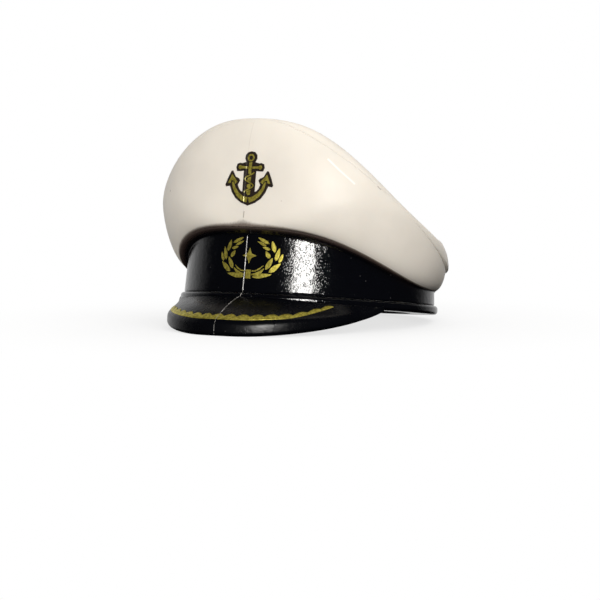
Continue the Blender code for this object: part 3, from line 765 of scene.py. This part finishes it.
class Look:
    """A node material with its coordinates in cap-frame millimetres."""

    def __init__(self, name):
        self.made = bpy.data.materials.new(name)
        self.made.use_nodes = True
        self.tree = self.made.node_tree
        self.shader = self.tree.nodes["Principled BSDF"]
        place = self.add("TexCoord").outputs["Object"]
        shift, lean, scale = STAND.inverted().decompose()
        self.mm = self.add("Mapping", {"Vector": place, "Location": shift, "Rotation": lean.to_euler(),
                                       "Scale": scale}).outputs[0]

    def add(self, kind, inputs=None, **settings):
        """New shader node; an input is a constant, or a socket to link."""
        node = self.tree.nodes.new("ShaderNode" + kind)
        for key, value in settings.items():
            setattr(node, key, value)
        for key, value in (inputs or {}).items():
            if isinstance(value, bpy.types.NodeSocket):
                self.tree.links.new(value, node.inputs[key])
            else:
                node.inputs[key].default_value = value
        return node

    def noise(self, scale, detail=2.0):
        """Soft random field about 0.5, finer with scale."""
        return self.add("TexNoise", {"Vector": self.mm, "Scale": scale,
                                     "Detail": detail}).outputs["Fac"]

    def specks(self, scale, size):
        """1 on small round spots, one per cell of a scattered pattern, 0 elsewhere."""
        cells = self.add("TexVoronoi", {"Vector": self.mm, "Scale": scale, "Randomness": 1.0})
        return self.step(cells.outputs["Distance"], size * 1.4, size)

    def segment_mask(self, start, end, width):
        """1 along the straight line between two places in cap-frame millimetres, 0 elsewhere."""
        start, end = Vector(start), Vector(end)
        reach = (end - start).length
        off = self.add("VectorMath", {0: self.mm, 1: start}, operation="SUBTRACT").outputs[0]
        along = self.add("VectorMath", {0: off, 1: (end - start) / reach}, operation="DOT_PRODUCT")
        along = self.add("Clamp", {"Value": along.outputs["Value"], "Max": reach}).outputs[0]
        near = self.add("VectorMath", {0: (end - start) / reach, "Scale": along}, operation="SCALE")
        away = self.add("VectorMath", {0: off, 1: near.outputs[0]}, operation="DISTANCE")
        return self.step(away.outputs["Value"], width, 0.4 * width)

    def mask(self, label):
        """Point values that the mesh carries under this name."""
        return self.add("Attribute", attribute_name=label).outputs["Fac"]

    def math(self, kind, a, b=0.0, c=0.0):
        return self.add("Math", {0: a, 1: b, 2: c}, operation=kind).outputs[0]

    def step(self, value, low, high, to_low=0.0, to_high=1.0):
        return self.add("MapRange", {"Value": value, "From Min": low, "From Max": high, "To Min": to_low,
                                     "To Max": to_high}, interpolation_type="SMOOTHSTEP").outputs[0]

    def spread(self, value, low, high):
        return self.add("MapRange", {"Value": value, "To Min": low, "To Max": high}).outputs[0]

    def mix(self, share, a, b):
        return self.add("Mix", {0: share, 6: a, 7: b}, data_type="RGBA").outputs[2]

    def bump(self, height, distance, normal=None):
        inputs = {"Height": height, "Distance": distance * MM, "Strength": 1.0}
        if normal is not None:
            inputs["Normal"] = normal
        return self.add("Bump", inputs).outputs[0]

    def wire(self, **sockets):
        """Set or link the Principled shader's inputs, with _ for the spaces in their names."""
        for label, value in sockets.items():
            socket = self.shader.inputs[label.replace("_", " ")]
            if isinstance(value, bpy.types.NodeSocket):
                self.tree.links.new(value, socket)
            else:
                socket.default_value = value


def white_plastic(name, tone, roughness):
    """Satin off-white plastic with stray paint, a painted highlight streak, specks (one of them painted
    shade in the seam's notch) and a faint parting line.
    """
    look = Look(name)
    shade = look.mix(look.step(look.noise(0.5, 3), 0.35, 0.7), tone, [c * 0.955 for c in tone[:3]] + [1])
    dirt = look.math("MULTIPLY", look.specks(0.9, 0.035), look.step(look.noise(0.4), 0.5, 0.62))
    shade = look.mix(look.math("MULTIPLY", dirt, 0.45), shade, DIRT)
    # painted highlight: a lighter streak where light catches the roll under the top panel's lip
    painted_highlight = look.math("MAXIMUM", *(look.segment_mask(*run) for run in CROWN_HIGHLIGHT_STREAK))
    painted_highlight = look.math("MULTIPLY", painted_highlight, look.step(look.noise(3.0), 0.4, 0.5, 0.35, 0.95))
    shade = look.mix(painted_highlight, shade, HIGHLIGHT_WHITE)
    # dark specks, the second of them painted shade in the seam's notch
    for dark_mark in CROWN_SPECKS_AND_NOTCH_SHADE:
        shade = look.mix(look.math("MULTIPLY", look.segment_mask(*dark_mark), 0.55), shade, SPECK_AND_SHADE_BROWN)
    line = look.math("MULTIPLY", look.mask("worn"), look.step(look.noise(1.3), 0.48, 0.56, 0.0, 0.2))
    shade = look.mix(line, shade, LINE_BROWN)
    ragged = look.math("ADD", look.mask("spray"), look.spread(look.noise(9.0, 3), -0.09, 0.09))
    haze = look.mix(look.step(ragged, 0.42, 0.95, 0.0, 0.9), shade, HAZE_BROWN)
    look.wire(Base_Color=look.mix(look.step(ragged, 0.97, 1.05), haze, PAINT_BLACK),
              Roughness=look.spread(look.noise(4.0), roughness - 0.05, roughness + 0.07),
              Normal=look.bump(look.noise(11.0, 2), 0.0018, look.bump(look.noise(0.8, 1), 0.010)))
    look.wire(Subsurface_Weight=0.12, Subsurface_Radius=(1.0, 0.8, 0.6), Subsurface_Scale=0.35 * MM,
              IOR=1.49)
    return look.made


def black_plastic(name, tone, roughness, grain, ior):
    """Glossy black paint with a fine grain that breaks up highlights, worn off the parting line."""
    look = Look(name)
    shade = look.mix(look.noise(1.2, 2), tone, [c * 1.6 for c in tone[:3]] + [1])
    shade = look.mix(look.math("MULTIPLY", look.mask("spray"), 0.9), shade, LIP_BROWN)
    dust = look.math("MULTIPLY", look.specks(2.6, 0.05), look.step(look.noise(1.1), 0.52, 0.6))
    shade = look.mix(look.math("MULTIPLY", dust, 0.12), shade, DUST)
    chipped = look.math("MULTIPLY", look.mask("worn"), look.step(look.noise(5.0, 3), 0.3, 0.5))
    bare = look.step(chipped, 0.25, 0.6, 0.0, 0.9)
    cells = look.add("TexVoronoi", {"Vector": look.mm, "Scale": 13.0}).outputs["Distance"]
    patches = look.step(look.noise(4.0, 2), 0.35, 0.65, 0.35, 1.0)
    pips = look.math("MULTIPLY", look.step(cells, 0.0, 0.6), patches)
    gloss = look.spread(look.noise(2.5), roughness - 0.03, roughness + 0.05)
    look.wire(Base_Color=look.mix(bare, shade, BARE_PLASTIC),
              Roughness=look.math("MAXIMUM", gloss, look.math("MULTIPLY", look.mask("spray"), 0.62)),
              Normal=look.bump(pips, grain, look.bump(look.noise(0.9, 1), 0.005)))
    look.wire(IOR=ior)
    return look.made


def gold_ink(name):
    """Patchy metallic ink, paler along the parting line: partly worn ink, partly a painted highlight on
    the ridge.
    """
    look = Look(name)
    patchy = look.mix(look.step(look.noise(7.0, 3), 0.38, 0.62), GOLD_BRIGHT, GOLD_DEEP)
    flakes = look.add("TexVoronoi", {"Vector": look.mm, "Scale": 11.0}).outputs["Color"]
    glint = look.add("SeparateColor", {"Color": flakes}).outputs[0]
    across = look.add("SeparateXYZ", {"Vector": look.mm}).outputs["X"]
    off_line = look.math("ABSOLUTE", look.math("SUBTRACT", across, RIDGE_MIDDLE))
    # paler line on the ridge: partly worn ink, partly painted highlight
    line_wear_and_highlight = look.step(off_line, 0.05, 0.02)
    patchy = look.mix(look.math("MULTIPLY", line_wear_and_highlight, 0.6), patchy, GOLD_WORN_AND_HIGHLIGHT)
    look.wire(Base_Color=look.mix(look.step(glint, 0.75, 0.95, 0.0, 0.5), patchy, GOLD_FLAKE),
              Metallic=0.8, Roughness=look.spread(glint, 0.34, 0.50),
              Normal=look.bump(look.noise(12.0, 2), 0.010))
    return look.made


def black_ink(name):
    """Satin brown-black ink."""
    look = Look(name)
    look.wire(Base_Color=look.mix(look.noise(8.0), INK_BLACK, INK_BROWN),
              Roughness=look.spread(look.noise(6.0), 0.35, 0.5),
              Normal=look.bump(look.noise(12.0, 2), 0.004))
    return look.made


# ---------------------------------------------------------------- pieces

CROWN_TABLE = crown_depth_table()
white = white_plastic("crown_white", CREAM, roughness=0.42)
socket_white = white_plastic("socket_white", LINER_WHITE, roughness=0.45)
black = black_plastic("cap_black", JET, roughness=0.10, grain=0.0044, ior=1.62)
visor_black = black_plastic("visor_black", JET, roughness=0.27, grain=0.005, ior=1.46)
gold = gold_ink("cap_gold")
ground = black_ink("badge_black")

set_in(ring_piece("bead_ring", bead_section, black, ridge_scale=0.8, seed=3.0),
       "band_bead")
set_in(ring_piece("band_shell", band_section, black, ridge_scale=1.0, seed=1.0),
       "band")
set_in(ring_piece("socket_liner", socket_section, socket_white), "head_socket")
set_in(ring_piece("crown_side", wall_section, white, ridge_scale=0.25, seed=5.0),
       "crown_wall")
set_in(ring_piece("crown_panel", top_section, white, caps=True), "crown_top")
set_in(visor_piece(visor_black), "visor")
set_in(trim_piece(gold), "visor_trim")
set_in(printed("badge_ground_print", [ground_outline()], crown_front_y, ground),
       "crown_badge_ground")
set_in(printed("badge_anchor_print", anchor_shapes(), crown_front_y, gold, lift=INK),
       "crown_badge_anchor")
set_in(printed("sprig_left_print", sprig(1), band_front_y, gold, lift=-0.004),
       "band_sprig_left")
set_in(printed("sprig_right_print", sprig(-1), band_front_y, gold, lift=-0.004),
       "band_sprig_right")
set_in(printed("tie_print", tie_shapes(), band_front_y, gold), "band_sprig_tie")
set_in(printed("star_print", star_shapes(), band_front_y, gold), "band_star")


# ---------------------------------------------------------------- stage

def map_range(tree, value, source, low, high, to_low=0.0, to_high=1.0, smooth=True):
    """Socket with the range of a node's named output mapped to another."""
    node = tree.nodes.new("ShaderNodeMapRange")
    node.interpolation_type = "SMOOTHSTEP" if smooth else "LINEAR"
    for label, number in (("From Min", low), ("From Max", high), ("To Min", to_low),
                          ("To Max", to_high)):
        node.inputs[label].default_value = number
    tree.links.new(value.outputs[source], node.inputs["Value"])
    return node.outputs[0]


def make_floor():
    """Pale paper that fades to pure white away from the cap, and doesn't light it."""
    mesh = bpy.data.meshes.new("floor")
    work = bmesh.new()
    bmesh.ops.create_circle(work, cap_ends=True, segments=96, radius=FLOOR_RADIUS)
    work.to_mesh(mesh)
    work.free()
    floor = bpy.data.objects.new("floor", mesh)
    bpy.context.scene.collection.objects.link(floor)
    look = bpy.data.materials.new("floor_paper")
    look.use_nodes = True
    tree = look.node_tree
    paper = tree.nodes["Principled BSDF"]
    paper.inputs["Base Color"].default_value = FLOOR_WHITE
    paper.inputs["Roughness"].default_value = 0.9
    paper.inputs["Specular IOR Level"].default_value = 0.0
    glow = tree.nodes.new("ShaderNodeEmission")
    away = tree.nodes.new("ShaderNodeVectorMath")
    away.operation = "LENGTH"
    place = tree.nodes.new("ShaderNodeTexCoord")
    tree.links.new(place.outputs["Object"], away.inputs[0])
    fade = map_range(tree, away, "Value", *FLOOR_FADE, FLOOR_GLOW, 1.0)
    blend = tree.nodes.new("ShaderNodeMixShader")
    tree.links.new(fade, blend.inputs[0])
    tree.links.new(paper.outputs[0], blend.inputs[1])
    tree.links.new(glow.outputs[0], blend.inputs[2])
    tree.links.new(blend.outputs[0], tree.nodes["Material Output"].inputs["Surface"])
    mesh.materials.append(look)
    floor.visible_glossy = False
    floor.visible_diffuse = False


def towards(azimuth, elevation, distance=1.0):
    """Vector in a direction, from the front towards +X, and up."""
    a, e = math.radians(azimuth), math.radians(elevation)
    return Vector((math.sin(a) * math.cos(e), -math.cos(a) * math.cos(e), math.sin(e))) * distance


def add_light(name, kind, place, energy, colour, **settings):
    """Light that points at the cap from (azimuth, elevation, distance)."""
    data = bpy.data.lights.new(name, kind)
    data.energy = energy
    data.color = colour
    for key, value in settings.items():
        setattr(data, key, value)
    lamp = bpy.data.objects.new(name, data)
    lamp.location = Vector(LIGHT_MIDDLE) + towards(*place)
    lamp.rotation_euler = (-towards(*place[:2])).to_track_quat("-Z", "Y").to_euler()
    lamp.visible_camera = False
    bpy.context.scene.collection.objects.link(lamp)
    return lamp


def make_world():
    """White to look at; for the cap, an ambient that is weak on one side, and a dark room with
    one pale side to reflect."""
    world = bpy.data.worlds.new("studio")
    world.use_nodes = True
    tree = world.node_tree
    base = tree.nodes["Background"]

    def node(kind, **settings):
        made = tree.nodes.new("ShaderNode" + kind)
        for key, value in settings.items():
            setattr(made, key, value)
        return made

    path = node("LightPath")
    place = node("TexCoord")
    facing = node("VectorMath", operation="DOT_PRODUCT")
    facing.inputs[1].default_value = towards(*PALE_SIDE)
    tree.links.new(place.outputs["Generated"], facing.inputs[0])
    pale = map_range(tree, facing, "Value", 0.35, 1.0, DARK_ROOM, PALE_WALL)
    split = node("SeparateXYZ")
    tree.links.new(place.outputs["Generated"], split.inputs[0])
    above = map_range(tree, split, "Z", -0.35, -0.12)
    ceiling = map_range(tree, split, "Z", 0.7, 0.3)
    walls = node("Math", operation="MULTIPLY")
    tree.links.new(above, walls.inputs[0])
    tree.links.new(ceiling, walls.inputs[1])
    room = node("Math", operation="MULTIPLY")
    tree.links.new(pale, room.inputs[0])
    tree.links.new(walls.outputs[0], room.inputs[1])
    turned = node("VectorMath", operation="DOT_PRODUCT")
    turned.inputs[1].default_value = towards(*DULL_SIDE)
    tree.links.new(place.outputs["Generated"], turned.inputs[0])
    ambient = map_range(tree, turned, "Value", 0.0, 0.9, AMBIENT, 0.0, smooth=False)
    soft = node("Mix", data_type="FLOAT")
    tree.links.new(path.outputs["Is Diffuse Ray"], soft.inputs[0])
    tree.links.new(room.outputs[0], soft.inputs[2])
    tree.links.new(ambient, soft.inputs[3])
    seen = node("Mix", data_type="FLOAT")
    tree.links.new(path.outputs["Is Camera Ray"], seen.inputs[0])
    tree.links.new(soft.outputs[0], seen.inputs[2])
    seen.inputs[3].default_value = 1.0
    tree.links.new(seen.outputs[0], base.inputs["Strength"])
    base.inputs["Color"].default_value = (1, 1, 1, 1)
    bpy.context.scene.world = world


make_floor()
make_world()
add_light("key", "AREA", KEY_AT, energy=0.205, colour=(1.0, 0.98, 0.95), shape="RECTANGLE",
          size=0.063, size_y=0.044)
overhead = add_light("overhead", "SUN", OVERHEAD_AT, energy=1.12, colour=(1.0, 0.99, 0.98),
                     angle=math.radians(50.0))
behind = add_light("behind", "SUN", BEHIND_AT, energy=0.8, colour=(1.0, 0.99, 0.97),
                   angle=math.radians(60.0))
for lamp in (overhead, behind):
    lamp.visible_glossy = False

camera_data = bpy.data.cameras.new("camera")
camera_data.lens = CAMERA_LENS
camera_data.sensor_width = CAMERA_SENSOR
camera_data.shift_x, camera_data.shift_y = CAMERA_SHIFT
camera_data.clip_start = 0.001
camera_data.clip_end = 20.0
camera = bpy.data.objects.new("camera", camera_data)
camera.location = Vector(CAMERA_AT) * MM
camera.rotation_euler = [math.radians(a) for a in CAMERA_TURN]
bpy.context.scene.collection.objects.link(camera)
bpy.context.scene.camera = camera
bpy.context.scene.view_settings.view_transform = "Standard"
